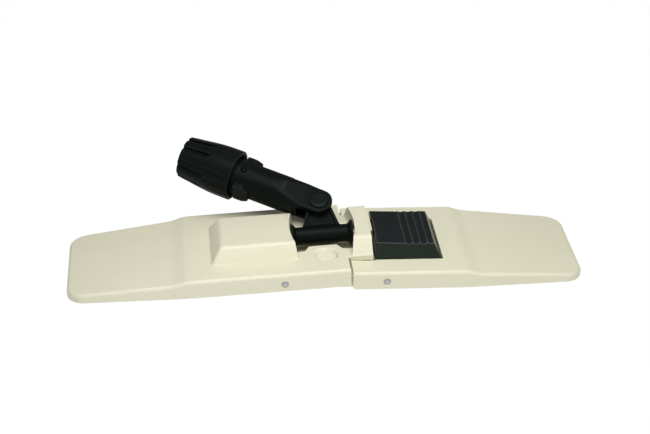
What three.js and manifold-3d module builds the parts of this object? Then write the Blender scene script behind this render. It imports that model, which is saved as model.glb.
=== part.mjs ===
// Folding flat-mop frame: two hinged wings, a sprung foot pedal that releases
// the fold, a swivelling yoke on a cross rod, and a tilting pole socket with a
// screw clamp.  Millimetres, +Z up.  +X runs along the frame, +Y to its back.
import * as THREE from 'three';
import { mergeVertices } from 'three/addons/utils/BufferGeometryUtils.js';
import Module from 'manifold-3d';

const wasm = await Module();
wasm.setup();

// ---------------------------------------------------------------- dimensions
const DEG = Math.PI / 180;
const SHIFT = [-0.01, -17.30, 6.82];      // puts the origin under the middle of the model
const TENT = { x: -31.0, z: 6.0 };      // line about which both wings are tilted at rest
const LEFT_TILT = 2.24 * DEG;           // each wing slopes down to its tip
const RIGHT_TILT = 1.69 * DEG;

const HALF_LEN = 200;                   // tip to tip 400
const HALF_W = 55;                      // deck width 110
const HALF_W_STEP = 54.25;              // paddle width at the step
const HALF_W_TIP = 48.5;                // paddle width at the tip
const TIP_R = 14;                       // tip corner radius
const DECK_H = 14.6;
const STEP_H = 11.7;
const TIP_H = 6.4;
const STEP_IN = 108.4;                  // deck-to-paddle step, inner and outer ends
const STEP_OUT = 117.5;
const WALL = 2.4;                       // moulded wall
const RIB = 2.0;

const LEFT_END = 17.3;                  // left deck ends here, beside the tongue
const TONGUE_END = 36.8;
const TONGUE_HALF = 34.6;
const RIGHT_START = 18.9;
const CUT_END = 37.7;                   // right deck is cut out for the tongue
const CUT_HALF = 35.1;

const FOLD_PIN = { x: -33.3, z: 5.9 };  // in the left wing's own frame
const PEDAL_PIN = { x: 45.0, z: 6.6 };  // in the right wing's own frame
const PIN_R = 2.5;
const GAP = 0.3;                        // running gap round pins and between faces

const ROD_Z = 17;                       // swivel rod axis height above the wing's rim
const ROD_R = 3;
const BOX_TOP = 26;                     // top of the rod housing
const BRIDGE_TOP = 27;
const ARC_R = 121;                      // hollowed end faces beside the swivel
const HOUSE_FACE = -24.9;               // housing's end face at y = 0
const BRIDGE_FACE = 25.3;               // bridge's end face at y = 0

const LEAN = 61.59 * DEG;               // yoke leans back from upright
const TILT = 29.56 * DEG;               // socket above the rod direction
const YOKE_REACH = 26.9;                // rod axis to pivot axis

const SOCKET_R = 14.3;
const BORE_R = 12.35;                   // takes a 24 mm pole
const SOCKET_FROM = 26;                 // round tube starts
const BORE_FLOOR = 29;
const CHEEK_HALF = 9.3;
const CHEEK_H = 10.8;
const CHEEK_IN = 5.6;
const LUG_TOP = 15.9;
const NUT_FROM = 71.6;
const NUT_TO = 118.3;
const NUT_R_WIDE = 20.6;
const NUT_R_MOUTH = 17.0;
const NOTCH_AT = [31.7, 85.7];            // degrees round the nut, repeated every quarter turn

// ------------------------------------------------------------------- helpers
function solid(geometry) {
  let g = geometry.clone();
  g.deleteAttribute('normal');
  g.deleteAttribute('uv');
  g = mergeVertices(g, 1e-4);
  return new wasm.Manifold(new wasm.Mesh({
    numProp: 3,
    vertProperties: new Float32Array(g.attributes.position.array),
    triVerts: new Uint32Array(g.index.array),
  }));
}
function toGeometry(manifold) {
  const m = manifold.getMesh();
  const g = new THREE.BufferGeometry();
  g.setAttribute('position', new THREE.BufferAttribute(new Float32Array(m.vertProperties), 3));
  g.setIndex(new THREE.BufferAttribute(new Uint32Array(m.triVerts), 1));
  g.computeVertexNormals();
  return g;
}
const union = (...list) => list.reduce((a, b) => a.add(b));
const cutAll = (base, ...list) => list.reduce((a, b) => a.subtract(b), base);

function extrude(points, depth) {
  const shape = new THREE.Shape(points.map((p) => new THREE.Vector2(p[0], p[1])));
  return new THREE.ExtrudeGeometry(shape, { depth, bevelEnabled: false, steps: 1, curveSegments: 1 });
}
// outline in X-Z, swept from y0 to y1
function prismXZ(points, y0, y1) {
  const g = extrude(points, y1 - y0);
  g.rotateX(Math.PI / 2);
  g.translate(0, y1, 0);
  return solid(g);
}
// outline in X-Y, swept from z0 to z1
function prismXY(points, z0, z1) {
  const g = extrude(points, z1 - z0);
  g.translate(0, 0, z0);
  return solid(g);
}
// outline in Y-Z, swept from x0 to x1
function prismYZ(points, x0, x1) {
  const g = extrude(points, x1 - x0);
  g.applyMatrix4(new THREE.Matrix4().makeBasis(
    new THREE.Vector3(0, 1, 0), new THREE.Vector3(0, 0, 1), new THREE.Vector3(1, 0, 0)));
  g.translate(x0, 0, 0);
  return solid(g);
}
function block(x0, x1, y0, y1, z0, z1) {
  const g = new THREE.BoxGeometry(x1 - x0, y1 - y0, z1 - z0);
  g.translate((x0 + x1) / 2, (y0 + y1) / 2, (z0 + z1) / 2);
  return solid(g);
}
function cylX(r, x0, x1, y, z, n = 20) {
  const g = new THREE.CylinderGeometry(r, r, x1 - x0, n);
  g.rotateZ(Math.PI / 2);
  g.translate((x0 + x1) / 2, y, z);
  return solid(g);
}
function cylY(r, y0, y1, x, z, n = 20) {
  const g = new THREE.CylinderGeometry(r, r, y1 - y0, n);
  g.translate(x, (y0 + y1) / 2, z);
  return solid(g);
}
function cylZ(r0, r1, z0, z1, x, y, n = 24) {
  const g = new THREE.CylinderGeometry(r1, r0, z1 - z0, n);
  g.rotateX(Math.PI / 2);
  g.translate(x, y, (z0 + z1) / 2);
  return solid(g);
}
// closed body through rings of [x, y, z] points, each ring turning the same way about X
function loftX(rings) {
  const n = rings[0].length;
  const pos = rings.flat().flat();
  const idx = [];
  for (let k = 0; k < rings.length - 1; k++) {
    for (let i = 0; i < n; i++) {
      const j = (i + 1) % n;
      const a = k * n + i, b = k * n + j, c = a + n, d = b + n;
      idx.push(a, b, d, a, d, c);
    }
  }
  const last = (rings.length - 1) * n;
  for (let i = 1; i < n - 1; i++) {
    idx.push(0, i + 1, i);
    idx.push(last, last + i, last + i + 1);
  }
  const g = new THREE.BufferGeometry();
  g.setAttribute('position', new THREE.BufferAttribute(new Float32Array(pos), 3));
  g.setIndex(idx);
  const m = solid(g);
  if (m.volume() > 0) return m;
  g.setIndex(idx.map((v, i) => (i % 3 === 1 ? idx[i + 1] : i % 3 === 2 ? idx[i - 1] : v)));
  return solid(g);
}
// closed profile of [x, radius] pairs turned about the X axis
function turnX(profile, n) {
  const pts = profile.map((p) => new THREE.Vector2(p[1], p[0]));
  const g = new THREE.LatheGeometry(pts, n);
  g.rotateZ(-Math.PI / 2);
  return solidTurned(g);
}
// closed profile of [y, radius] pairs turned about the Y axis
function turnY(profile, n) {
  const pts = profile.map((p) => new THREE.Vector2(p[1], p[0]));
  return solidTurned(new THREE.LatheGeometry(pts, n));
}
function solidTurned(g) {
  let h = g.clone();
  h.deleteAttribute('normal');
  h.deleteAttribute('uv');
  h = mergeVertices(h, 1e-4);
  // drop the zero-area triangles that meet the axis
  const pos = h.attributes.position;
  const idx = [];
  const a = new THREE.Vector3(), b = new THREE.Vector3(), c = new THREE.Vector3();
  for (let i = 0; i < h.index.count; i += 3) {
    const [i0, i1, i2] = [h.index.getX(i), h.index.getX(i + 1), h.index.getX(i + 2)];
    if (i0 === i1 || i1 === i2 || i0 === i2) continue;
    idx.push(i0, i1, i2);
  }
  // orient outward
  let vol = 0;
  for (let i = 0; i < idx.length; i += 3) {
    a.fromBufferAttribute(pos, idx[i]); b.fromBufferAttribute(pos, idx[i + 1]); c.fromBufferAttribute(pos, idx[i + 2]);
    vol += a.dot(b.clone().cross(c));
  }
  if (vol < 0) for (let i = 0; i < idx.length; i += 3) [idx[i + 1], idx[i + 2]] = [idx[i + 2], idx[i + 1]];
  return new wasm.Manifold(new wasm.Mesh({
    numProp: 3,
    vertProperties: new Float32Array(pos.array),
    triVerts: new Uint32Array(idx),
  }));
}
function mesh(name, manifold, material) {
  const m = new THREE.Mesh(toGeometry(manifold), material);
  m.name = name;
  return m;
}
const plastic = (color, roughness) => new THREE.MeshStandardMaterial({ color, roughness, metalness: 0 });
const steel = () => new THREE.MeshStandardMaterial({ color: 0xb9bbb8, roughness: 0.35, metalness: 0.9 });
const CREAM = 0xe3e1cd;
const BLACK = 0x171c1b;

// ---------------------------------------------------------------- wing solids
// side = -1 builds towards -X, +1 towards +X; inset shrinks the outline
function wingPlan(side, xInner, inset) {
  const tipX = HALF_LEN - inset;
  const tipY = HALF_W_TIP - inset;
  const r = TIP_R - inset;
  const half = [[xInner, HALF_W - inset], [STEP_IN, HALF_W - inset], [STEP_OUT, HALF_W_STEP - inset]];
  const n = 7;
  for (let i = 0; i <= n; i++) {
    const a = (90 - (90 * i) / n) * DEG;
    half.push([tipX - r + r * Math.cos(a), tipY - r + r * Math.sin(a)]);
  }
  const all = [...half, ...half.slice().reverse().map(([x, y]) => [x, -y])];
  return all.map(([x, y]) => [side * x, y]);
}
function wingProfile(side, xInner, drop, endInset) {
  const tip = HALF_LEN - endInset;
  const zTip = TIP_H + (STEP_H - TIP_H) * (endInset / (HALF_LEN - STEP_OUT)) - drop;
  return [[xInner, drop ? -1 : 0], [xInner, DECK_H - drop], [STEP_IN, DECK_H - drop],
    [STEP_OUT, STEP_H - drop], [tip, zTip], [tip, drop ? -1 : 0]].map(([x, z]) => [side * x, z]);
}
const wingOuter = (side, xInner) => prismXZ(wingProfile(side, xInner, 0, 0), -60, 60)
  .intersect(prismXY(wingPlan(side, xInner, 0), -2, 40));
const wingCavity = (side, xInner) => prismXZ(wingProfile(side, xInner, WALL, WALL), -60, 60)
  .intersect(prismXY(wingPlan(side, xInner, WALL), -2, 40));

// plan outline of a band of x between a hollowed face and a straight end
function arcPlan(face, dir, xEnd, half) {
  const pts = [];
  const n = 10;
  for (let i = 0; i <= n; i++) {
    const y = -half + (2 * half * i) / n;
    const sag = ARC_R - Math.sqrt(ARC_R * ARC_R - y * y);
    pts.push([face + dir * sag, y]);
  }
  pts.push([xEnd, half], [xEnd, -half]);
  return pts;
}

// ------------------------------------------------------------------ left wing
const housingOuter = prismXZ([[-88, 10], [-88, DECK_H], [-80, BOX_TOP], [-18, BOX_TOP], [-18, 10]], -40, 40)
  .intersect(prismYZ([[-32, 10], [-32, DECK_H], [-24.5, BOX_TOP], [24.5, BOX_TOP], [32, DECK_H], [32, 10]], -90, -10))
  .intersect(prismXY(arcPlan(HOUSE_FACE, 1, -90, 34), 5, 40));
const housingInner = prismXZ([[-85.2, 8], [-85.2, 13.4], [-78.2, BOX_TOP - WALL], [HOUSE_FACE - WALL, BOX_TOP - WALL], [HOUSE_FACE - WALL, 8]], -40, 40)
  .intersect(prismYZ([[-29.4, 8], [-29.4, 13.4], [-22.8, BOX_TOP - WALL], [22.8, BOX_TOP - WALL], [29.4, 13.4], [29.4, 8]], -90, -10));
const bridgeOuter = prismYZ([[-34.3, 10], [-34.3, DECK_H], [-25.4, BRIDGE_TOP], [25.4, BRIDGE_TOP], [34.3, DECK_H], [34.3, 10]], 15, TONGUE_END)
  .intersect(prismXY(arcPlan(BRIDGE_FACE, -1, TONGUE_END, 38), 5, 40));
const bridgeInner = prismYZ([[-31.6, 8], [-31.6, 13.4], [-24, BRIDGE_TOP - WALL], [24, BRIDGE_TOP - WALL], [31.6, 13.4], [31.6, 8]],
  BRIDGE_FACE + WALL, TONGUE_END - WALL);
const tongueOuter = block(LEFT_END - 2, TONGUE_END, -TONGUE_HALF, TONGUE_HALF, 0, DECK_H);
const tongueInner = block(0, TONGUE_END - WALL, -(TONGUE_HALF - WALL), TONGUE_HALF - WALL, -1, DECK_H - WALL);

const pocketPlan = (g) => [
  [-25.3 - g, -21 - g], [-17, -21 - g], [-12, -15.5 - g], [12.5, -15.5 - g], [17.5, -21 - g], [25.7 + g, -21 - g],
  [25.7 + g, 21 + g], [17.5, 21 + g], [12.5, 15.5 + g], [-12, 15.5 + g], [-17, 21 + g], [-25.3 - g, 21 + g]];

function leftWing() {
  const outer = union(wingOuter(-1, -LEFT_END), housingOuter, tongueOuter, bridgeOuter);
  const hollow = union(wingCavity(-1, -(LEFT_END + 1)), housingInner, tongueInner, bridgeInner);
  let wing = outer.subtract(hollow);
  const ribs = [];
  for (const x of [-173, -142, -111, -79, -46]) ribs.push(block(x - RIB / 2, x + RIB / 2, -54, 54, 0.8, BOX_TOP));
  for (const y of [-(TONGUE_HALF - WALL / 2), TONGUE_HALF - WALL / 2]) {
    ribs.push(block(-198, TONGUE_END - 0.5, y - WALL / 2, y + WALL / 2, 0.6, DECK_H));
  }
  ribs.push(block(-198, -46, -RIB / 2, RIB / 2, 0.8, BOX_TOP));
  for (const r of ribs) wing = wing.add(r.intersect(outer));
  // recess under the swivel
  wing = wing.add(prismXY(pocketPlan(2), 2, DECK_H - 0.5).intersect(outer));
  wing = wing.subtract(prismXY(pocketPlan(0), 4, 20).subtract(union(housingOuter, bridgeOuter)));
  // rod bosses
  wing = wing.add(cylX(6.2, -36, HOUSE_FACE - 1, 0, ROD_Z).intersect(outer));
  wing = wing.add(cylX(6.2, BRIDGE_FACE + 1, TONGUE_END - 1, 0, ROD_Z).intersect(outer));
  wing = wing.subtract(cylX(ROD_R + GAP, -40, 34.6, 0, ROD_Z).subtract(block(HOUSE_FACE + 1, BRIDGE_FACE - 1, -10, 10, 5, 14)));
  // round dishes in the deck
  for (const y of [-28.1, 28.1]) wing = wing.subtract(cylZ(8.6, 11, DECK_H - 1.2, DECK_H + 0.001, 0.3, y));
  // fold pin bosses and bores
  for (const s of [-1, 1]) {
    wing = wing.add(cylY(5.2, Math.min(s * 52.4, s * 54.5), Math.max(s * 52.4, s * 54.5), FOLD_PIN.x, FOLD_PIN.z));
    wing = wing.add(cylY(5.2, Math.min(s * 33.5, s * 37.9), Math.max(s * 33.5, s * 37.9), FOLD_PIN.x, FOLD_PIN.z));
  }
  wing = wing.subtract(cylY(PIN_R + GAP, -60, 60, FOLD_PIN.x, FOLD_PIN.z));
  // catch nose on the bridge's outer face
  wing = wing.add(prismXZ([[35.8, 22.6], [38.6, 23.6], [38.6, 25.2], [35.8, 26.2]], -13, 12.5));
  return wing;
}

// ----------------------------------------------------------------- right wing
// the fold pin expressed in the right wing's own frame
const REST_FOLD = LEFT_TILT + RIGHT_TILT;
const PIN_IN_RIGHT = (() => {
  const dx = FOLD_PIN.x - TENT.x, dz = FOLD_PIN.z - TENT.z;
  return { x: TENT.x + dx * Math.cos(REST_FOLD) - dz * Math.sin(REST_FOLD),
    z: TENT.z + dx * Math.sin(REST_FOLD) + dz * Math.cos(REST_FOLD) };
})();
function rightWing() {
  let outer = wingOuter(1, RIGHT_START);
  // rounded lower edge at the split
  outer = outer.subtract(prismXZ([[RIGHT_START - 1, -1], [RIGHT_START - 1, 4.5], [RIGHT_START, 4.5], [RIGHT_START + 0.7, 1.9], [RIGHT_START + 2.7, 0], [RIGHT_START + 2.7, -1]], -60, 60));
  const cutout = block(RIGHT_START - 5, CUT_END, -CUT_HALF, CUT_HALF, -5, 40);
  let wing = outer.subtract(wingCavity(1, RIGHT_START + WALL));
  // walls round the cut-out and the pedal well
  const frame = [
    block(RIGHT_START + 1, CUT_END + 2, -(CUT_HALF + 2), CUT_HALF + 2, 0.6, DECK_H),
    block(CUT_END, 94.6, -35.7, 35.7, 0, DECK_H),
  ];
  for (const f of frame) wing = wing.add(f.intersect(outer));
  for (const x of [111, 142, 173]) wing = wing.add(block(x - RIB / 2, x + RIB / 2, -54, 54, 0.8, DECK_H).intersect(outer));
  for (const y of [-37, 37]) wing = wing.add(block(40, 198, y - RIB / 2, y + RIB / 2, 0.8, DECK_H).intersect(outer));
  wing = wing.add(block(94, 198, -RIB / 2, RIB / 2, 0.8, DECK_H).intersect(outer));
  for (const s of [-1, 1]) {
    const y0 = Math.min(s * 35, s * 54), y1 = Math.max(s * 35, s * 54);
    wing = wing.add(block(44, 46, y0, y1, 0.8, DECK_H).intersect(outer));
    wing = wing.add(block(70, 72, y0, y1, 0.8, DECK_H).intersect(outer));
  }
  wing = cutAll(wing, cutout,
    block(CUT_END + 1.8, 91.0, -33.7, 33.7, 1.8, 20),          // pedal well
    block(CUT_END - 1, CUT_END + 3, -33.7, 33.7, 9, 20));      // low wall at its hinge end
  // hinge arms reaching under the left deck
  const px = PIN_IN_RIGHT.x, pz = PIN_IN_RIGHT.z;
  for (const s of [-1, 1]) {
    const span = (a, b) => [Math.min(s * a, s * b), Math.max(s * a, s * b)];
    for (const [a, b] of [[39.2, 42.4], [48.4, 51.6]]) {
      const [y0, y1] = span(a, b);
      wing = wing.add(prismXZ([[px, pz - 4.9], [RIGHT_START + 6, 0.8], [RIGHT_START + 6, 11], [px, pz + 4.9]], y0, y1));
      wing = wing.add(cylY(4.9, y0, y1, px, pz));
    }
    const [y0, y1] = span(39.2, 51.6);
    wing = wing.add(block(-27, RIGHT_START + 6, y0, y1, 9, 10.9));
    // pads that stop against the underside of the left deck
    const zTop = (x) => DECK_H - WALL + Math.tan(REST_FOLD) * (x - px) - 0.35;
    wing = wing.add(prismXZ([[5, 9.5], [14, 9.5], [14, zTop(14) - 0.15], [5, zTop(5) - 0.1]], y0, y1));
  }
  wing = wing.subtract(cylY(PIN_R + GAP, -60, 60, px, pz));
  // pedal pin bosses and bores
  for (const s of [-1, 1]) {
    wing = wing.add(cylY(4.4, Math.min(s * 52.4, s * 54.5), Math.max(s * 52.4, s * 54.5), PEDAL_PIN.x, PEDAL_PIN.z));
    wing = wing.add(cylY(4.4, Math.min(s * 34, s * 38), Math.max(s * 34, s * 38), PEDAL_PIN.x, PEDAL_PIN.z));
  }
  wing = wing.subtract(cylY(PIN_R + GAP, -60, 60, PEDAL_PIN.x, PEDAL_PIN.z));
  return wing;
}

// ---------------------------------------------------------------------- pedal
function pedal() {
  const top = [[39.1, 13.4], [39.1, 25.6], [60, 24.7]];
  for (const x of [61.8, 67.7, 73.6, 79.4]) top.push([x, 25.1], [x + 1.4, 24.3], [x + 3.6, 24.2]);
  top.push([84.6, 24.3], [89.6, 14.2], [89.6, 13.4]);
  const outer = prismXZ(top, -40, 40)
    .intersect(prismYZ([[-32.8, 13.4], [-32.8, 14.2], [-26.3, 25.7], [26.3, 25.7], [32.8, 14.2], [32.8, 13.4]], 30, 95));
  const inner = prismXZ([[41.2, 10], [41.2, 22.3], [82.4, 22.3], [87.2, 13.8], [87.2, 10]], -40, 40)
    .intersect(prismYZ([[-30.4, 10], [-30.4, 14], [-25, 22.3], [25, 22.3], [30.4, 14], [30.4, 10]], 30, 95));
  let p = outer.subtract(inner);
  for (const s of [-1, 1]) {
    const y0 = Math.min(s * 17, s * 20.5), y1 = Math.max(s * 17, s * 20.5);
    p = p.add(prismXZ([[PEDAL_PIN.x - 4, PEDAL_PIN.z], [PEDAL_PIN.x + 4, PEDAL_PIN.z], [54, 23.4], [41, 23.4]], y0, y1));
    p = p.add(cylY(4.2, y0, y1, PEDAL_PIN.x, PEDAL_PIN.z));
    p = p.add(block(53, 86, s * 9 - 0.9, s * 9 + 0.9, 17.5, 23.4).intersect(outer));
  }
  p = p.subtract(cylY(PIN_R + GAP, -40, 40, PEDAL_PIN.x, PEDAL_PIN.z));
  // window for the catch nose in the front lip
  p = p.subtract(block(38, 40.0, -13.5, 13, 20.5, 27));
  return p;
}

// --------------------------------------------------------------- pedal spring
function pedalSpring() {
  const cx = PEDAL_PIN.x, cz = PEDAL_PIN.z, r = 3.55, wire = 0.5;
  const pts = [];
  const turns = 5.25, y0 = -4.2, y1 = 4.2;
  pts.push(new THREE.Vector3(cx + 26, y0 - 0.2, cz - r + 0.1), new THREE.Vector3(cx + 14, y0 - 0.1, cz - r + 0.05));
  const n = Math.round(turns * 10);
  for (let i = 0; i <= n; i++) {
    const a = -90 * DEG - (turns * 360 * DEG * i) / n;      // starts at the bottom
    pts.push(new THREE.Vector3(cx + r * Math.cos(a), y0 + ((y1 - y0) * i) / n, cz + r * Math.sin(a)));
  }
  // last point is on the far side; the free leg climbs to the pedal's underside
  pts.push(new THREE.Vector3(cx + 2, y1 + 0.3, cz + 7.5), new THREE.Vector3(cx + 12, y1 + 0.4, cz + 13.9));
  const curve = new THREE.CatmullRomCurve3(pts, false, 'centripetal');
  const shape = new THREE.Shape();
  for (let i = 0; i < 6; i++) {
    const a = (i / 6) * Math.PI * 2;
    if (i === 0) shape.moveTo(wire * Math.cos(a), wire * Math.sin(a)); else shape.lineTo(wire * Math.cos(a), wire * Math.sin(a));
  }
  shape.closePath();
  const g = new THREE.ExtrudeGeometry(shape, { steps: 84, bevelEnabled: false, extrudePath: curve });
  return solid(g);
}

// ----------------------------------------------------------------- swivel yoke
// own frame: X along the rod, Z from the rod to the pivot, Y through the pivot
function yoke() {
  let y = turnX([[-24.3, 0], [-24.3, 10.2], [-23.2, 10.2], [-20.6, 7.0], [20.6, 7.0], [23.2, 10.2], [24.3, 10.2], [24.3, 0]], 28);
  const web = [[-15, 4], [15, 4], [8.6, YOKE_REACH], [-8.6, YOKE_REACH]];
  y = y.add(prismXZ(web, -1.9, 1.9));
  const rib = (s) => {
    const pts = [[15.2, 4], [13.0, 4], [6.2, YOKE_REACH - 2], [8.9, YOKE_REACH - 2]].map(([x, z]) => [s * x, z]);
    return prismXZ(pts, -4.2, 4.2);
  };
  y = y.add(rib(1)).add(rib(-1));
  y = y.add(cylY(9.4, -4.2, 4.2, 0, YOKE_REACH, 28));
  y = y.subtract(cylX(ROD_R + GAP, -30, 30, 0, 0));
  y = y.subtract(cylY(ROD_R + GAP, -10, 10, 0, YOKE_REACH));
  return y;
}

// --------------------------------------------------------------- pole socket
// own frame: X from the pivot to the mouth, Y along the pivot pin
function socket() {
  let s = turnX([[SOCKET_FROM, 0], [SOCKET_FROM, SOCKET_R], [74, SOCKET_R], [74.8, 13.9], [96, 13.9], [96, 0]], 40);
  // fork block
  const fork = union(
    block(0, SOCKET_FROM + 2, -CHEEK_HALF, CHEEK_HALF, -CHEEK_H, CHEEK_H),
    cylY(CHEEK_H, -CHEEK_HALF, CHEEK_HALF, 0, 0, 32));
  s = s.add(fork);
  // the fork's flat sides swell into the round tube
  const rings = [];
  for (let k = 0; k <= 5; k++) {
    const t = k / 5, e = t * t * (3 - 2 * t), x = 12 + 15.5 * t, ring = [];
    for (let i = 0; i < 40; i++) {
      const a = (i / 40) * 2 * Math.PI;
      const flat = Math.min((CHEEK_HALF - 0.02) / Math.abs(Math.cos(a) || 1e-9), (CHEEK_H - 0.02) / Math.abs(Math.sin(a) || 1e-9));
      const r = flat + (13.8 - flat) * e;
      ring.push([x, r * Math.cos(a), r * Math.sin(a)]);
    }
    rings.push(ring);
  }
  s = s.add(loftX(rings));
  s = s.subtract(union(block(-14, 14.5, -CHEEK_IN, CHEEK_IN, -16, 16)));
  s = s.subtract(cylX(BORE_R, BORE_FLOOR, 100, 0, 0, 36));
  // lugs
  for (const [z0, z1] of [[10, LUG_TOP], [-LUG_TOP, -10]]) {
    const lug = prismXY([[55.5, -5.6], [61, -8.6], [68.5, -8.6], [68.5, 8.6], [61, 8.6], [55.5, 5.6]], z0, z1);
    s = s.add(lug.subtract(cylX(BORE_R + 0.9, 40, 80, 0, 0, 36)));
  }
  // pivot bore, cap seats and peg hole
  s = s.subtract(cylY(ROD_R + GAP, -20, 20, 0, 0));
  s = s.subtract(cylY(5.1, -20, -7.2, 0, 0, 24));
  s = s.subtract(cylY(5.1, 7.2, 20, 0, 0, 24));
  s = s.subtract(cylY(2.5, -20, -8, 64.7, 0.9));
  return s;
}
const capSolid = (k) => turnY([[7.5, 0], [7.5, 4.8], [9.6, 4.8], [9.6, 7.9], [10.3, 7.9], [10.75, 7.1], [11.0, 5.5], [11.1, 0]].map(([a, r]) => [k * a, r]), 28);
const washerSolid = (k) => {
  const a = Math.min(k * 4.5, k * 5.3), b = Math.max(k * 4.5, k * 5.3);
  return cylY(8.4, a, b, 0, 0, 24).subtract(cylY(ROD_R + GAP, a - 1, b + 1, 0, 0));
};
const pivotPin = () => cylY(ROD_R, -7.1, 7.1, 0, 0);
const peg = () => turnY([[-12.9, 0], [-12.9, 2.15], [-14.6, 2.15], [-15.2, 1.5], [-15.3, 0]], 16);

// --------------------------------------------------------------------- collet
function collet() {
  let c = turnX([[96.6, BORE_R + 0.05], [96.6, 15.0], [99, 15.0], [112.0, 13.5], [112.0, BORE_R + 0.05], [96.6, BORE_R + 0.05]], 36);
  c = c.subtract(block(90, 120, -1.3, 1.3, -20, 0));
  for (const a of [90, 180, 270]) {
    const g = new THREE.BoxGeometry(20, 1.8, 20);
    g.translate(111.5, 0, -10);
    g.rotateX(a * DEG);
    c = c.subtract(solid(g));
  }
  return c;
}

// ------------------------------------------------------------------ clamp nut
function clampNut() {
  const outerProfile = [[NUT_FROM, 19.9], [NUT_FROM + 0.9, NUT_R_WIDE], [84, 20.5], [90, 20.2], [96, 19.6], [102, 18.85], [108, 18.05], [113, 17.5], [NUT_TO - 0.9, NUT_R_MOUTH], [NUT_TO, 16.2]];
  const innerProfile = [[NUT_TO, 12.9], [112.6, 12.9], [112.6, 13.9], [99.2, 15.4], [96.2, 15.4], [96.2, 14.25], [79, 14.25], [79, 17.4], [NUT_FROM, 17.4]];
  let n = turnX([...outerProfile, ...innerProfile, outerProfile[0]], 48);
  // grip notches in pairs: one steep wall, a floor rising to the surface, and a ramp at the inner end
  const notch = (x, floor, rim) => [[0, floor], [0.5, 26], [-18, 26], [-18, rim]].map(([deg, r]) => [x, r * Math.cos(deg * DEG), r * Math.sin(deg * DEG)]);
  for (let q = 0; q < 4; q++) {
    for (const at of NOTCH_AT) {
      const cutter = loftX([notch(121, 15.4, 18.0), notch(97.5, 17.0, 20.4), notch(90.5, 21.0, 21.0)]).rotate([at + 90 * q, 0, 0]);
      n = n.subtract(cutter);
    }
  }
  return n;
}

// -------------------------------------------------------------------- scene
const group = new THREE.Group();
group.position.set(...SHIFT);

function tentGroup(tilt) {
  const turn = new THREE.Group();
  turn.position.set(TENT.x, 0, TENT.z);
  turn.rotation.y = tilt;
  const inner = new THREE.Group();
  inner.position.set(-TENT.x, 0, -TENT.z);
  turn.add(inner);
  group.add(turn);
  return inner;
}
const left = tentGroup(-LEFT_TILT);
const right = tentGroup(RIGHT_TILT);

left.add(mesh('left_wing', leftWing(), plastic(CREAM, 0.45)));
left.add(mesh('fold_pin', cylY(PIN_R, -55.3, 55.3, FOLD_PIN.x, FOLD_PIN.z), steel()));
left.add(mesh('swivel_rod', cylX(ROD_R, -44.5, 34.2, 0, ROD_Z), steel()));
left.add(mesh('rod_clip', cylX(6.4, -42.6, -41.7, 0, ROD_Z).subtract(cylX(ROD_R + GAP, -44, -40, 0, ROD_Z)), steel()));

right.add(mesh('right_wing', rightWing(), plastic(CREAM, 0.45)));
right.add(mesh('pedal_pin', cylY(PIN_R, -55.3, 55.3, PEDAL_PIN.x, PEDAL_PIN.z), steel()));
right.add(mesh('pedal', pedal(), plastic(BLACK, 0.4)));
right.add(mesh('pedal_spring', pedalSpring(), steel()));

const swivel = new THREE.Group();
swivel.position.set(0, 0, ROD_Z);
swivel.rotation.x = -LEAN;
left.add(swivel);
swivel.add(mesh('swivel_yoke', yoke(), plastic(BLACK, 0.4)));

const handle = new THREE.Group();
handle.position.set(0, 0, YOKE_REACH);
handle.rotation.y = Math.PI + TILT;
swivel.add(handle);
handle.add(mesh('pole_socket', socket(), plastic(BLACK, 0.45)));
handle.add(mesh('pivot_pin', pivotPin(), steel()));
handle.add(mesh('pivot_cap_front', capSolid(-1), plastic(BLACK, 0.35)));
handle.add(mesh('pivot_cap_rear', capSolid(1), plastic(BLACK, 0.35)));
handle.add(mesh('pivot_washer_front', washerSolid(-1), plastic(0x3a3d3c, 0.5)));
handle.add(mesh('pivot_washer_rear', washerSolid(1), plastic(0x3a3d3c, 0.5)));
handle.add(mesh('locating_peg', peg(), plastic(BLACK, 0.4)));
handle.add(mesh('collet', collet(), plastic(0x22282a, 0.5)));
handle.add(mesh('clamp_nut', clampNut(), plastic(BLACK, 0.45)));

export default group;
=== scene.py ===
import bpy, bmesh, math
import numpy as np
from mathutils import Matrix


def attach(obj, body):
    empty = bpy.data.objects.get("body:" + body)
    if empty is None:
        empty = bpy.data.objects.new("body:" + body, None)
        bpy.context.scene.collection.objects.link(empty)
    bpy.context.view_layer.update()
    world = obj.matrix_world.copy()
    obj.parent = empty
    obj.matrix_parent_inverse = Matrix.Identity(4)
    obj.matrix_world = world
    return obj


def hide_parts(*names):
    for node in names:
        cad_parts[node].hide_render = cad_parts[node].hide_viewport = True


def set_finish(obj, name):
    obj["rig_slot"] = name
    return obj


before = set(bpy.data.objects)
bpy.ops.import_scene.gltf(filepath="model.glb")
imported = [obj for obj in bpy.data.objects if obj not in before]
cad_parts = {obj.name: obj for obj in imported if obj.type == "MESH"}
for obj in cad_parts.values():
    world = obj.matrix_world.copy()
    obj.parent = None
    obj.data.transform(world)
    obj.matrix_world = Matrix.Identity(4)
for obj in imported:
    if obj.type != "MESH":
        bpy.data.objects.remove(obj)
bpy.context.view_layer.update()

import openvdb as vdb
from concurrent.futures import ThreadPoolExecutor
from mathutils import Matrix, Vector

MM = 0.001
DEG = math.pi / 180

# ------------------------------------------------------------------ places
# The frames the pieces are modelled in, as the CAD source states them (mm).
SHIFT = np.array([-0.01, -17.30, 6.82])
TENT = np.array([-31.0, 0.0, 6.0])
LEFT_TILT, RIGHT_TILT = 2.24 * DEG, 1.69 * DEG
LEAN, TILT = 61.59 * DEG, 29.56 * DEG
ROD_Z, REACH = 17.0, 26.9


def rot_y(a):
    c, s = math.cos(a), math.sin(a)
    return np.array([[c, 0, s], [0, 1, 0], [-s, 0, c]])


def rot_x(a):
    c, s = math.cos(a), math.sin(a)
    return np.array([[1, 0, 0], [0, c, -s], [0, s, c]])


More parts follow.
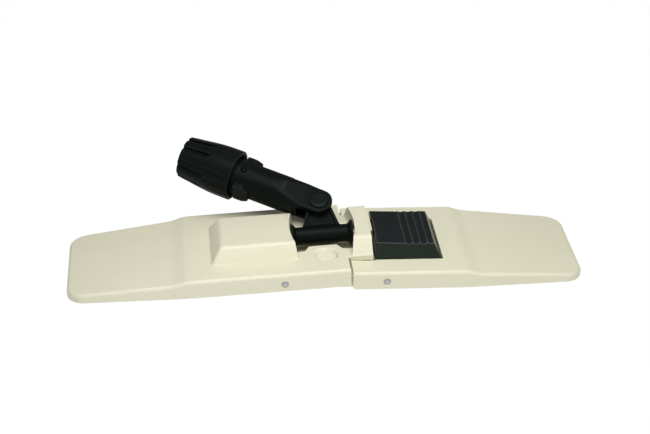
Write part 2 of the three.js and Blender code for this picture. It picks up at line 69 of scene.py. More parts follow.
class Place:
    """Turns a point of a piece's own frame (mm) into the row frame (mm)."""

    def __init__(self, rot, origin):
        self.rot, self.origin = np.array(rot, float), np.array(origin, float)

    def points(self, p):
        return np.asarray(p) @ self.rot.T + self.origin

    def dirs(self, v):
        return np.asarray(v) @ self.rot.T

    def then(self, rot, at):
        return Place(self.rot @ rot, self.points(np.array(at, float)))


_rl, _rr = rot_y(-LEFT_TILT), rot_y(RIGHT_TILT)
LEFT = Place(_rl, TENT - _rl @ TENT + SHIFT)
RIGHT = Place(_rr, TENT - _rr @ TENT + SHIFT)
YOKE = LEFT.then(rot_x(-LEAN), (0, 0, ROD_Z))
HANDLE = YOKE.then(rot_y(math.pi + TILT), (0, 0, REACH))

# ------------------------------------------------------------------ camera
CAM_AZ, CAM_EL, CAM_DIST, CAM_F = -5.17 * DEG, 27.73 * DEG, 1446.37, 1783.02
_back = np.array([math.sin(CAM_AZ) * math.cos(CAM_EL), -math.cos(CAM_AZ) * math.cos(CAM_EL), math.sin(CAM_EL)])
_right = np.cross(-_back, [0, 0, 1.0]); _right /= np.linalg.norm(_right)
_up = np.cross(_right, -_back)
_at = np.array([6.13, 44.85, 10.0]) + SHIFT
cam_data = bpy.data.cameras.new("camera")
cam_data.sensor_width = 36.0
cam_data.lens = CAM_F * 36.0 / 650.0
cam_data.clip_start, cam_data.clip_end = 0.05, 50
cam = bpy.data.objects.new("camera", cam_data)
bpy.context.scene.collection.objects.link(cam)
_pos = (_at + _back * CAM_DIST) * MM
cam.matrix_world = Matrix((
    (_right[0], _up[0], _back[0], _pos[0]),
    (_right[1], _up[1], _back[1], _pos[1]),
    (_right[2], _up[2], _back[2], _pos[2]),
    (0, 0, 0, 1)))
bpy.context.scene.camera = cam


# --------------------------------------------------------- distance fields
def rmax(a, b, r):
    """Both; the edge between them is rounded to radius r."""
    if r <= 0:
        return np.maximum(a, b)
    return np.minimum(np.maximum(a, b), -r) + np.sqrt(np.square(np.maximum(a + r, 0)) + np.square(np.maximum(b + r, 0)))


def rmin(a, b, r):
    """Either; the corner between them is filled to radius r."""
    if r <= 0:
        return np.minimum(a, b)
    return np.maximum(np.minimum(a, b), r) - np.sqrt(np.square(np.maximum(r - a, 0)) + np.square(np.maximum(r - b, 0)))


def cut(a, b, r):
    return rmax(a, -b, r)


def slab(v, lo, hi):
    return np.maximum(lo - v, v - hi)


def soft(t, s):
    """A ramp, 0 then t, with its corner smoothed over about s."""
    return 0.5 * (t + np.sqrt(t * t + s * s))


def box3(x, y, z, x0, x1, y0, y1, z0, z1, r=0.0):
    return rmax(rmax(slab(x, x0, x1), slab(y, y0, y1), r), slab(z, z0, z1), r)


def poly2(px, py, pts):
    """Exact signed distance to a closed outline."""
    pts = np.asarray(pts, float)
    n = len(pts)
    d = None
    sign = None
    for i in range(n):
        vi, vj = pts[i], pts[i - 1]
        ex, ey = vj - vi
        wx, wy = px - vi[0], py - vi[1]
        t = np.clip((wx * ex + wy * ey) / (ex * ex + ey * ey), 0, 1)
        bx, by = wx - ex * t, wy - ey * t
        q = bx * bx + by * by
        d = q if d is None else np.minimum(d, q)
        c1, c2, c3 = py >= vi[1], py < vj[1], ex * wy > ey * wx
        flip = (c1 & c2 & c3) | (~c1 & ~c2 & ~c3)
        s = np.where(flip, -1.0, 1.0)
        sign = s if sign is None else sign * s
    return sign * np.sqrt(d)


def sample(f, p):
    return f(p[:, 0], p[:, 1], p[:, 2])


def threads(job, n, parts=4):
    edges = np.linspace(0, n, parts + 1).astype(int)
    with ThreadPoolExecutor(parts) as pool:
        return list(pool.map(lambda k: job(edges[k], edges[k + 1]), range(parts)))


def gradient(f, p, h=0.02):
    def job(a, b):
        q = p[a:b]
        g = np.empty_like(q)
        for i in range(3):
            e = np.zeros(3); e[i] = h
            g[:, i] = (sample(f, q + e) - sample(f, q - e)) / (2 * h)
        return g
    return np.concatenate(threads(job, len(p)))


def bend(f, p, h=0.7):
    """Positive on outer edges, negative in inner corners, per mm."""
    def job(a, b):
        q = p[a:b]
        t = -6 * sample(f, q)
        for i in range(3):
            e = np.zeros(3); e[i] = h
            t = t + sample(f, q + e) + sample(f, q - e)
        return t / (h * h)
    return np.concatenate(threads(job, len(p)))


def drop_doubled(me):
    """Removes pairs of triangles that lie folded onto each other."""
    total = np.empty(len(me.polygons), np.int32)
    me.polygons.foreach_get("loop_total", total)
    if (total != 3).any():
        return
    corner = np.empty(len(me.loops), np.int32)
    me.loops.foreach_get("vertex_index", corner)
    tri = np.sort(corner.reshape(-1, 3), axis=1)
    _, inverse, count = np.unique(tri, axis=0, return_inverse=True, return_counts=True)
    bad = np.nonzero(count[inverse.ravel()] > 1)[0]
    if len(bad):
        bm = bmesh.new()
        bm.from_mesh(me)
        bm.faces.ensure_lookup_table()
        bmesh.ops.delete(bm, geom=[bm.faces[int(i)] for i in bad], context="FACES")
        bm.to_mesh(me)
        bm.free()


def solidify(name, f, lo, hi, step, place, keep=1.0):
    """Meshes where f is below 0, in its own frame (mm), then puts it in the row frame (m)."""
    lo, hi = np.array(lo, float) - 2 * step, np.array(hi, float) + 2 * step
    n = np.ceil((hi - lo) / step).astype(int) + 1
    xs, ys, zs = (lo[i] + step * np.arange(n[i]) for i in range(3))
    xs, ys, zs = xs.astype(np.float32), ys.astype(np.float32), zs.astype(np.float32)

    def job(a, b):
        out = np.empty((b - a, n[1], n[2]), np.float32)
        for k in range(a, b, 24):
            m = min(k + 24, b)
            v = f(xs[k:m, None, None], ys[None, :, None], zs[None, None, :])
            out[k - a:m - a] = np.clip(v, -3 * step, 3 * step)
        return out
    field = np.concatenate(threads(job, n[0]))
    grid = vdb.FloatGrid(3 * step)
    grid.copyFromArray(field)
    pts, tris, quads = grid.convertToPolygons(isovalue=0.0, adaptivity=0.0)
    pts = pts.astype(float) * step + lo
    faces = [list(map(int, t)) for t in tris] + [list(map(int, q)) for q in quads]
    me = bpy.data.meshes.new(name)
    me.from_pydata(pts.tolist(), [], faces)
    if keep < 1.0:
        tmp = bpy.data.objects.new(name + "_tmp", me)
        bpy.context.scene.collection.objects.link(tmp)
        dec = tmp.modifiers.new("d", "DECIMATE")
        dec.ratio = keep
        dec.use_collapse_triangulate = True
        dg = bpy.context.evaluated_depsgraph_get()
        me2 = bpy.data.meshes.new_from_object(tmp.evaluated_get(dg))
        bpy.data.objects.remove(tmp)
        bpy.data.meshes.remove(me)
        me = me2
        drop_doubled(me)
        me.name = name
    p = np.empty(len(me.vertices) * 3)
    me.vertices.foreach_get("co", p)
    p = p.reshape(-1, 3)
    for _ in range(3):
        v = sample(f, p)
        g = gradient(f, p)
        gg = np.maximum((g * g).sum(1), 0.2)
        move = np.clip(v / gg, -0.6 * step, 0.6 * step)
        p = p - move[:, None] * g
    nrm = gradient(f, p, 0.05)
    nrm /= np.maximum(np.linalg.norm(nrm, axis=1), 1e-9)[:, None]
    curv = bend(f, p)
    me.vertices.foreach_set("co", (place.points(p) * MM).ravel())
    me.update()
    # outward faces
    fn = np.empty(len(me.polygons) * 3)
    me.polygons.foreach_get("normal", fn)
    fn = fn.reshape(-1, 3)
    first = np.array([pl.vertices[0] for pl in me.polygons])
    wn = place.dirs(nrm)
    if (fn * wn[first]).sum() < 0:
        me.flip_normals()
    # 'edge' holds the curvature and 'up' the height of the normal; the materials use them for painted edge highlights,
    # painted crease shade and the pedal's painted slope reflection
    at = me.attributes.new("edge", "FLOAT", "POINT")
    at.data.foreach_set("value", curv.astype(np.float32))
    up = me.attributes.new("up", "FLOAT", "POINT")
    up.data.foreach_set("value", nrm[:, 2].astype(np.float32))
    me.polygons.foreach_set("use_smooth", np.ones(len(me.polygons), bool))
    me.normals_split_custom_set_from_vertices(wn.tolist())
    ob = bpy.data.objects.new(name, me)
    bpy.context.scene.collection.objects.link(ob)
    print("piece", name, "faces", len(me.polygons))
    return ob


def turned(name, profile, place, axis="X", n=96, bumps=None, closed=True):
    """A body turned about X or Y of its own frame, from (along, radius) pairs that start and end on the axis."""
    bm = bmesh.new()
    rings = []
    for a, r in profile:
        if r < 1e-6:
            co = (a, 0, 0) if axis == "X" else (0, a, 0)
            rings.append([bm.verts.new(co)])
            continue
        ring = []
        for k in range(n):
            t = 2 * math.pi * k / n
            rr, aa = (r, a) if bumps is None else bumps(a, r, t)
            co = (aa, rr * math.cos(t), rr * math.sin(t)) if axis == "X" else (rr * math.cos(t), aa, rr * math.sin(t))
            ring.append(bm.verts.new(co))
        rings.append(ring)
    for i in range(len(rings) - 1 if rings[0] is not rings[-1] else len(rings)):
        A, B = rings[i], rings[(i + 1) % len(rings)]
        for k in range(n):
            l = (k + 1) % n
            if len(A) == 1 and len(B) == 1:
                continue
            if len(A) == 1:
                bm.faces.new((A[0], B[k], B[l]))
            elif len(B) == 1:
                bm.faces.new((A[k], B[0], A[l]))
            else:
                bm.faces.new((A[k], B[k], B[l], A[l]))
    bmesh.ops.recalc_face_normals(bm, faces=bm.faces)
    me = bpy.data.meshes.new(name)
    bm.to_mesh(me)
    bm.free()
    p = np.empty(len(me.vertices) * 3)
    me.vertices.foreach_get("co", p)
    me.vertices.foreach_set("co", (place.points(p.reshape(-1, 3)) * MM).ravel())
    me.polygons.foreach_set("use_smooth", np.ones(len(me.polygons), bool))
    me.update()
    ob = bpy.data.objects.new(name, me)
    bpy.context.scene.collection.objects.link(ob)
    return ob


def loop_profile(points, r=0.3, n=4):
    """Rounds the corners of an open profile of (along, radius) pairs."""
    out = [points[0]]
    for i in range(1, len(points) - 1):
        p0, p1, p2 = (np.array(points[k], float) for k in (i - 1, i, i + 1))
        u, v = p0 - p1, p2 - p1
        lu, lv = np.linalg.norm(u), np.linalg.norm(v)
        if min(lu, lv) < 1e-6:
            continue
        d = min(r, lu * 0.45, lv * 0.45)
        a, b = p1 + u / lu * d, p1 + v / lv * d
        for k in range(n + 1):
            t = k / n
            out.append(tuple((1 - t) ** 2 * a + 2 * t * (1 - t) * p1 + t * t * b))
    out.append(points[-1])
    return out


# ------------------------------------------------------------- wing shapes
HALF_W, W_STEP, W_TIP = 55.0, 54.25, 48.5
DECK, STEP_H, TIP_H = 14.6, 11.7, 6.4
S_IN, S_OUT, LEN = 108.4, 117.5, 200.0
K1 = (DECK - STEP_H) / (S_OUT - S_IN)
K2 = (STEP_H - TIP_H) / (LEN - S_OUT)
WALL = 2.4


def wing_top(ax):
    return DECK - K1 * soft(ax - S_IN, 2.2) + (K1 - K2) * soft(ax - S_OUT, 2.2)


def wing_half(ax):
    a = (HALF_W - W_STEP) / (S_OUT - S_IN)
    b = (W_STEP - W_TIP) / (LEN - S_OUT)
    return HALF_W - a * soft(ax - S_IN, 4) + (a - b) * soft(ax - S_OUT, 4)


def wing_outer(ax, ay, z, edge=2.6):
    top = (z - wing_top(ax)) * 0.985
    side = rmax(ay - wing_half(ax), ax - LEN, 14.0)
    return rmax(top, side, edge)


def wing_hollow(ax, ay, z):
    top = z - wing_top(ax) + WALL
    side = rmax(ay - wing_half(ax) + WALL, ax - LEN + WALL, 11.6)
    return rmax(top, side, 0.8)


def bore_y(x, z, cx, cz, r):
    return np.sqrt(np.square(x - cx) + np.square(z - cz)) - r


POCKET = [(-25.3, -21), (-15, -20), (-11.6, -12.8), (10.6, -12.8), (14.5, -20), (25.7, -21),
          (25.7, 21), (14.5, 20), (10.6, 12.8), (-11.6, 12.8), (-15, 20), (-25.3, 21)]


def left_wing(x, y, z):
    ax, ay = -x, np.abs(y)
    deck = wing_outer(ax, ay, z)
    # rod housing
    side = ((ay - 32) * 11.4 + (z - DECK) * 7.5) / 13.646
    lend = (-(x + 88) * 11.4 + (z - DECK) * 8.0) / 13.927
    face_l = 121.0 - np.sqrt(np.square(x - 96.1) + np.square(y))
    house = rmax(rmax(side, lend, 2.0), z - 26.0, 1.7)
    house = np.maximum(rmax(house, face_l, 0.6), 12.0 - z)
    # bridge over the rod's other end
    bside = ((ay - 34.3) * 12.4 + (z - DECK) * 8.9) / 15.263
    face_r = 121.0 - np.sqrt(np.square(x + 95.7) + np.square(y))
    bridge = rmax(bside, z - 27.0, 1.8)
    bridge = np.maximum(rmax(bridge, face_r, 0.6), 12.0 - z)
    bridge = np.maximum(bridge, x - 60)
    body = rmin(rmin(deck, house, 0.8), bridge, 0.8)
    end = np.minimum(x - 17.3, np.maximum(ay - 34.6, x - 36.8))
    body = rmax(body, end, 0.6)
    body = rmax(body, -z, 0.5)
    outer = body
    # hollow underside
    hol = np.maximum(wing_hollow(ax, ay, z), x - 19.0)
    ton = np.maximum(np.maximum(z - 12.2, ay - 32.2), np.maximum(x - 34.4, -x))
    hh = rmax(rmax(((ay - 29.4) * 10.2 + (z - 13.4) * 6.6) / 12.149, (-(x + 85.2) * 10.2 + (z - 13.4) * 7.0) / 12.371, 1.0), z - 23.6, 1.0)
    hh = np.maximum(np.maximum(hh, x + 27.3), 8.0 - z)
    bh = rmax(bside + 2.5, z - 24.6, 1.0)
    bh = np.maximum(np.maximum(bh, slab(x, 27.7, 34.4)), 8.0 - z)
    hol = np.minimum(np.minimum(hol, ton), np.minimum(hh, bh))
    body = cut(body, hol, 0.4)
    rib = np.abs(ay - 33.4) - 1.2
    rib = np.maximum(rib, x - 36.3)
    for cx in (-173, -142, -111, -79, -46):
        rib = np.minimum(rib, np.abs(x - cx) - 1.0)
    rib = np.minimum(rib, np.maximum(ay - 1.0, x + 46))
    rib = np.maximum(np.maximum(rib, 0.8 - z), outer + 0.9)
    body = rmin(body, rib, 0.5)
    # recess under the swivel
    pocket = poly2(x, y, POCKET)
    tub = np.maximum(np.maximum(pocket - 2.0, 2.0 - z), outer + 0.2)
    body = np.minimum(body, tub)
    well = np.maximum(pocket, 4.0 - z)
    well = np.maximum(well, -np.minimum(house, bridge))
    body = cut(body, well, 0.7)
    # bosses and bore for the swivel rod
    rod = np.sqrt(np.square(y) + np.square(z - ROD_Z))
    boss = np.maximum(np.maximum(rod - 6.2, np.minimum(slab(x, -36, -25.5), slab(x, 26, 35.8))), outer + 0.9)
    body = np.minimum(body, boss)
    body = cut(body, np.maximum(rod - 3.3, slab(x, -40, 34.6)), 0.3)
    # round dishes: a bevelled wall, then a floor with a shallow raised disc
    rho = np.sqrt(np.square(x - 0.3) + np.square(ay - 28.1))
    body = np.minimum(body, np.maximum(rho - 10.8, slab(z, 10.2, 13.2)))
    dish = np.maximum((rho - (8.3 + (z - 12.3) * 0.75)) * 0.8, 12.3 - z)
    body = cut(body, dish, 0.6)
    step = np.maximum(rmax(rho - 7.0, z - 12.85, 0.3), 12.0 - z)
    body = np.minimum(body, step)
    # fold pin bosses and bores
    hub = bore_y(x, z, -33.3, 5.9, 5.2)
    hubs = np.maximum(hub, np.minimum(slab(ay, 52.4, 54.3), slab(ay, 33.5, 37.9)))
    body = np.minimum(body, hubs)
    body = cut(body, hub + 2.6, 0.1)
    # catch nose
    nose = np.maximum(z - 26.2 + (x - 35.8) * 0.357, 22.6 + (x - 35.8) * 0.357 - z) * 0.94
    nose = rmax(rmax(nose, slab(x, 35.0, 38.6), 0.35), slab(y, -13, 12.5), 0.4)
    return np.minimum(body, nose)


REST_FOLD = LEFT_TILT + RIGHT_TILT
_dx, _dz = -33.3 + 31.0, 5.9 - 6.0
PRX = -31.0 + _dx * math.cos(REST_FOLD) - _dz * math.sin(REST_FOLD)
PRZ = 6.0 + _dx * math.sin(REST_FOLD) + _dz * math.cos(REST_FOLD)
ARM = [(PRX, PRZ - 4.9), (24.9, 0.8), (24.9, 11.0), (PRX, PRZ + 4.9)]


def right_wing(x, y, z):
    ax, ay = x, np.abs(y)
    deck = wing_outer(ax, ay, z)
    deck = rmax(deck, rmax(18.9 - x, -z, 2.4), 0.7)
    deck = rmax(deck, -z, 0.5)
    outer = deck
    hol = np.maximum(wing_hollow(ax, ay, z), 21.3 - x)
    body = cut(deck, hol, 0.4)
    wall = np.maximum(slab(x, 19.9, 39.7), ay - 37.1)
    wall = np.minimum(wall, np.maximum(slab(x, 37.7, 93.0), ay - 35.7))
    wall = np.maximum(np.maximum(wall, 0.3 - z), outer + 0.2)
    body = np.minimum(body, wall)
    rib = np.maximum(np.abs(ay - 37.0) - 1.0, 40.0 - x)
    for cx in (111, 142, 173):
        rib = np.minimum(rib, np.abs(x - cx) - 1.0)
    rib = np.minimum(rib, np.maximum(ay - 1.0, 94.0 - x))
    rib = np.minimum(rib, np.maximum(np.minimum(np.abs(x - 45) - 1.0, np.abs(x - 71) - 1.0), 35.0 - ay))
    rib = np.maximum(np.maximum(rib, 0.8 - z), outer + 0.9)
    body = rmin(body, rib, 0.5)
    # openings for the tongue and the pedal
    body = cut(body, np.maximum(x - 37.7, ay - 35.1), 0.5)
    well = rmax(slab(x, 39.5, 91.0), ay - 33.7, 1.2)
    body = cut(body, np.maximum(well, 1.8 - z), 0.6)
    body = cut(body, np.maximum(np.maximum(slab(x, 36.7, 40.7), ay - 33.7), 9.0 - z), 0.6)
    # hinge arms
    plate = np.minimum(slab(ay, 39.2, 42.4), slab(ay, 48.4, 51.6))
    prof = np.minimum(poly2(x, z, ARM), bore_y(x, z, PRX, PRZ, 4.9))
    arm = rmax(prof, plate, 0.4)
    web = np.maximum(np.maximum(slab(x, -27, 24.9), slab(ay, 39.2, 51.6)), slab(z, 9.0, 10.9))
    ztop = DECK - WALL + math.tan(REST_FOLD) * (x - PRX) - 0.5
    pad = np.maximum(np.maximum(slab(x, 5, 14), slab(ay, 39.2, 51.6)), np.maximum(9.5 - z, z - ztop))
    arm = rmin(rmin(arm, web, 0.6), pad, 0.6)
    body = np.minimum(body, arm)
    body = cut(body, bore_y(x, z, PRX, PRZ, 2.8), 0.25)
    hub = bore_y(x, z, 45.0, 6.6, 4.4)
    hubs = np.maximum(hub, np.minimum(slab(ay, 52.4, 54.3), slab(ay, 34.0, 38.0)))
    body = np.minimum(body, hubs)
    body = cut(body, hub + 1.8, 0.1)
    return body


# ----------------------------------------------------------------- pedal
def pedal(x, y, z):
    ay = np.abs(y)
    t = (x - 61.8) / 5.87
    wave = 24.0 + 1.12 * (1 - np.abs(np.sin(math.pi * t))) ** 0.85
    inside = 1 / (1 + np.exp(-(x - 60.0) * 4.0)) / (1 + np.exp((x - 80.6) * 3.0))
    top = (z - ((24.7 + 0.043 * np.clip(60 - x, 0, 25)) * (1 - inside) + wave * inside - 0.2 * np.clip((x - 80.6) * 3, 0, 1))) * 0.9
    side = ((ay - 32.8) * 11.5 + (z - 14.2) * 6.3) / 13.112
    rend = ((x - 89.6) * 10.1 + (z - 14.2) * 5.0) / 11.27
    body = rmax(side, rend, 0.8)
    body = rmax(body, 39.1 - x, 0.6)
    outer = body = rmax(rmax(body, top, 0.45), 13.4 - z, 0.3)
    iside = ((ay - 30.4) * 8.3 + (z - 14.0) * 5.4) / 9.902
    irend = ((x - 87.2) * 8.5 + (z - 13.8) * 4.8) / 9.762
    hol = rmax(rmax(rmax(iside, irend, 0.8), z - 22.3, 0.8), 41.2 - x, 0.5)
    body = cut(body, hol, 0.3)
    ear = poly2(x, z, [(41.0, 6.6), (49.0, 6.6), (54, 23.4), (41, 23.4)])
    ear = np.minimum(ear, bore_y(x, z, 45.0, 6.6, 4.2))
    ear = rmax(ear, slab(ay, 17, 20.5), 0.4)
    rib = np.maximum(np.maximum(slab(x, 53, 87), np.abs(ay - 9) - 0.9), np.maximum(17.5 - z, outer + 0.4))
    body = rmin(rmin(body, ear, 0.6), rib, 0.5)
    body = cut(body, bore_y(x, z, 45.0, 6.6, 2.8), 0.2)
    win = np.maximum(np.maximum(x - 40.0, slab(y, -13.5, 13.0)), 20.5 - z)
    return cut(body, win, 0.3)


# ------------------------------------------------------------------ yoke
def yoke(x, y, z):
    ax = np.abs(x)
    rho = np.sqrt(y * y + z * z)
    R = 7.0 + np.clip(soft(ax - 20.3, 0.5) * 1.15, 0, 3.2)
    sleeve = rmax((rho - R) * 0.72, ax - 24.3, 0.4)
    k = 6.4 / 22.9
    edge = (ax - (15.1 - k * (z - 4))) * 0.963
    zr = slab(z, 0.0, 26.9)
    web = np.maximum(rmax(np.abs(y) - 1.9, edge, 0.4), zr)
    rib = np.maximum(rmax(rmax(np.abs(y) - 4.2, edge, 0.6), -(edge + 2.2), 0.5), slab(z, 0.0, 26.0))
    eye = rmax(np.sqrt(x * x + np.square(z - REACH)) - 9.4, np.abs(y) - 4.2, 0.6)
    body = rmin(rmin(web, rib, 0.8), eye, 0.8)
    body = rmin(body, sleeve, 0.9)
    body = cut(body, rho - 3.3, 0.3)
    return cut(body, np.sqrt(x * x + np.square(z - REACH)) - 3.3, 0.3)


# ----------------------------------------------------------- pole socket
def capsule(x, z, x0, x1, r):
    cx = np.clip(x, x0, x1)
    return np.sqrt(np.square(x - cx) + z * z) - r


def socket(x, y, z):
    rho = np.sqrt(y * y + z * z)
    cheek = np.abs(y) - 9.3 - 0.205 * soft(x - 12.0, 1.5)
    tube = rmax(rmax(rho - 14.3, slab(x, 26.4, 74.0), 0.6), cheek, 0.9)
    height = np.where(x < 0, np.sqrt(x * x + z * z) - 10.8, np.abs(z) - 10.8 - 0.15 * soft(x - 5.0, 1.5))
    fork = rmax(rmax(height, cheek, 1.2), rho - 13.95, 1.2)
    fork = np.maximum(fork, x - 30)
    body = rmin(tube, fork, 0.5)
    slot = rmax(np.abs(y) - 5.6, x - 14.5, 0.8)
    body = cut(body, slot, 0.5)
    # lugs
    az = np.abs(z)
    lug = rmax(rmax(az - 15.9, np.abs(y) - 8.6, 0.7), slab(x, 55.5, 68.5), 0.7)
    lug = rmax(lug, (np.abs(y) - 5.6 - (x - 55.5) * 0.545) * 0.878, 0.5)
    lug = np.maximum(lug, 9.0 - az)
    body = np.minimum(body, lug)
    # plain neck with the nut's thread
    thread = 0.3 * np.sin((x * 2 * math.pi / 3.0) - np.arctan2(z, y))
    neck = np.where((x > 80.0) & (x < 93.0), rho - 13.55 - thread, rho - 13.9)
    neck = rmax(neck * 0.9, slab(x, 70.0, 96.0), 0.5)
    body = np.minimum(body, neck)
    body = cut(body, np.maximum(rho - 12.35, 29.0 - x), 0.6)
    pin = np.sqrt(x * x + z * z)
    body = cut(body, pin - 3.3, 0.2)
    body = cut(body, np.maximum(pin - 5.1, 7.2 - np.abs(y)), 0.2)
    peg = np.sqrt(np.square(x - 64.7) + np.square(z - 0.9))
    body = cut(body, np.maximum(peg - 2.75, y + 8.0), 0.25)
    return body


# ------------------------------------------------------------- clamp nut
NUT_OUT = np.array([(71.6, 20.3), (72.5, 20.6), (84, 20.5), (90, 20.2), (96, 19.6), (102, 18.85), (108, 18.05), (113, 17.5), (118.3, 16.75)])
NOTCH_AT = (31.7, 85.7)


def clamp_nut(x, y, z):
    rho = np.sqrt(y * y + z * z)
    ang = np.arctan2(z, y) / DEG
    R = np.interp(x, NUT_OUT[:, 0], NUT_OUT[:, 1])
    # twenty flats with a fine groove between each pair
    lane = (ang - NOTCH_AT[0]) / 18.0
    v = np.abs(lane - np.round(lane)) * 18.0 * DEG * R
    flat = R * (1 - np.cos(np.minimum(np.abs(lane - np.floor(lane) - 0.5), 0.5) * 18.0 * DEG)) - R * (1 - math.cos(9 * DEG))
    line = 0.45 * np.clip(1 - v / 0.5, 0, 1) * np.clip((x - 73.5) / 1.5, 0, 1)
    body = (rho - R - 0.45 * flat + line) * 0.85
    # grip notches in pairs: a steep wall, a floor that rises to the surface, a ramp at the end
    for at in NOTCH_AT:
        d = -(((ang - at + 45.0) % 90.0) - 45.0)          # degrees past the steep wall
        floor = 14.75 + (118.3 - x) * 0.085
        rise = np.clip(d / 17.0, 0, 1)
        floor = floor + (R - floor) * rise
        ramp = np.clip((98.4 - x) / 7.0, 0, 1)
        floor = floor + (R + 0.5 - floor) * ramp
        wall = -(d * DEG * rho)
        notch = np.maximum(np.maximum((floor - rho) * 0.8, wall), (d - 18.0) * DEG * rho)
        body = cut(body, notch, 0.12)
    body = rmax(body, slab(x, 71.6, 118.3), 1.0)
    inner = np.maximum(rho - 12.9, 105 - x)
    cone = np.interp(x, [99.2, 112.6], [15.4, 13.9])
    inner = np.minimum(inner, np.maximum(rho - cone, slab(x, 96.2, 112.6)))
    inner = np.minimum(inner, np.maximum(rho - 14.25, slab(x, 78.5, 97.0)))
    inner = np.minimum(inner, np.maximum(rho - 17.4 - np.clip(74.0 - x, 0, 2) * 0.5, x - 79.0))
    return cut(body, inner, 0.45)


def collet(x, y, z):
    rho = np.sqrt(y * y + z * z)
    R = np.interp(x, [96.6, 99.0, 112.0], [15.0, 15.0, 13.5])
    body = rmax(rmax(rho - R, slab(x, 96.6, 112.0), 0.3), -(rho - 12.4), 0.3)
    body = cut(body, np.maximum(np.abs(y) - 1.3, z), 0.2)
    slots = np.maximum(np.abs(y) - 0.9, -z)
    slots = np.minimum(slots, np.abs(z) - 0.9)
    body = cut(body, np.maximum(slots, 101.5 - x), 0.2)
    return body


# ------------------------------------------------------------------ build
pieces = {}


def add(ob, body, node, slot):
    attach(ob, body)
    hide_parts(node)
    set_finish(ob, slot)
    pieces[node] = ob
    return ob


V = 0.5
add(solidify("left_wing_shell", left_wing, (-200, -55, 0), (38.6, 55, 27), V, LEFT, 0.12), "left_half", "left_wing", "cream_plastic")
add(solidify("right_wing_shell", right_wing, (-39, -55, 0), (200, 55, 15.2), V, RIGHT, 0.12), "right_half", "right_wing", "cream_plastic")
add(solidify("foot_pedal", pedal, (39.1, -33, 2.3), (90, 33, 25.7), 0.4, RIGHT, 0.25), "pedal", "pedal", "pedal_plastic")
add(solidify("yoke_moulding", yoke, (-24.4, -10.3, -10.3), (24.4, 10.3, 36.4), 0.38, YOKE, 0.35), "yoke", "swivel_yoke", "black_plastic")
add(solidify("socket_moulding", socket, (-11, -19, -17.2), (96, 19, 17.2), 0.4, HANDLE, 0.22), "pole_holder", "pole_socket", "black_plastic")
add(solidify("nut_moulding", clamp_nut, (71.6, -20.8, -20.8), (118.3, 20.8, 20.8), 0.35, HANDLE, 0.35), "nut", "clamp_nut", "nut_plastic")
add(solidify("split_collet", collet, (96.6, -15.1, -15.1), (112, 15.1, 15.1), 0.32, HANDLE, 0.4), "clamp_collet", "collet", "collet_plastic")


def pin(name, x, z, place, body, node):
    prof = loop_profile([(-55.3, 0), (-55.25, 0.9), (-55.05, 1.8), (-54.7, 2.5), (54.7, 2.5), (55.05, 1.8), (55.25, 0.9), (55.3, 0)], 0.3)
    mid = []
    for a, r in prof:
        mid.append((a, r))
    ob = turned(name, mid, Place(place.rot, place.points((x, 0, z))), "Y", 40)
    return add(ob, body, node, "zinc_steel")


pin("fold_hinge_pin", -33.3, 5.9, LEFT, "left_half", "fold_pin")
pin("pedal_hinge_pin", 45.0, 6.6, RIGHT, "right_half", "pedal_pin")
ROD = Place(LEFT.rot, LEFT.points((0, 0, ROD_Z)))
add(turned("swivel_shaft", loop_profile([(-44.5, 0), (-44.5, 2.5), (-44.0, 3.0), (33.7, 3.0), (34.2, 2.5), (34.2, 0)], 0.3), ROD, "X", 48), "left_half", "swivel_rod", "zinc_steel")
ring = loop_profile([(-42.15, 3.3), (-42.6, 3.3), (-42.6, 6.4), (-41.7, 6.4), (-41.7, 3.3), (-42.15, 3.3)], 0.2)
add(turned("rod_push_washer", ring, ROD, "X", 48, bumps=lambda a, r, t: (r, a - 0.25 * (6.4 - r) / 3.1 * (0.5 + 0.5 * math.cos(6 * t)))), "left_half", "rod_clip", "zinc_steel")
for k, side in ((-1, "front"), (1, "rear")):
    prof = loop_profile([(7.5, 0), (7.5, 4.8), (9.55, 4.8), (9.55, 7.9), (10.35, 7.9), (10.85, 6.8), (11.0, 5.2), (10.98, 2.5), (10.95, 0)], 0.3)
    add(turned("pivot_button_" + side, [(k * a, r) for a, r in prof], HANDLE, "Y", 72), "pole_holder", "pivot_cap_" + side, "cap_plastic")
    ring = loop_profile([(4.9, 3.3), (4.5, 3.3), (4.5, 8.4), (5.3, 8.4), (5.3, 3.3), (4.9, 3.3)], 0.15)
    add(turned("thrust_washer_" + side, [(k * a, r) for a, r in ring], HANDLE, "Y", 64), "pole_holder", "pivot_washer_" + side, "washer_plastic")
add(turned("pivot_shaft", loop_profile([(-7.1, 0), (-7.1, 2.6), (-6.7, 3.0), (6.7, 3.0), (7.1, 2.6), (7.1, 0)], 0.25), HANDLE, "Y", 48), "pole_holder", "pivot_pin", "zinc_steel")
PEG = Place(HANDLE.rot, HANDLE.points((64.7, 0, 0.9)))
add(turned("socket_peg", loop_profile([(-12.9, 0), (-12.9, 2.15), (-14.5, 2.15), (-15.15, 1.6), (-15.3, 0)], 0.35), PEG, "Y", 40), "pole_holder", "locating_peg", "black_plastic")


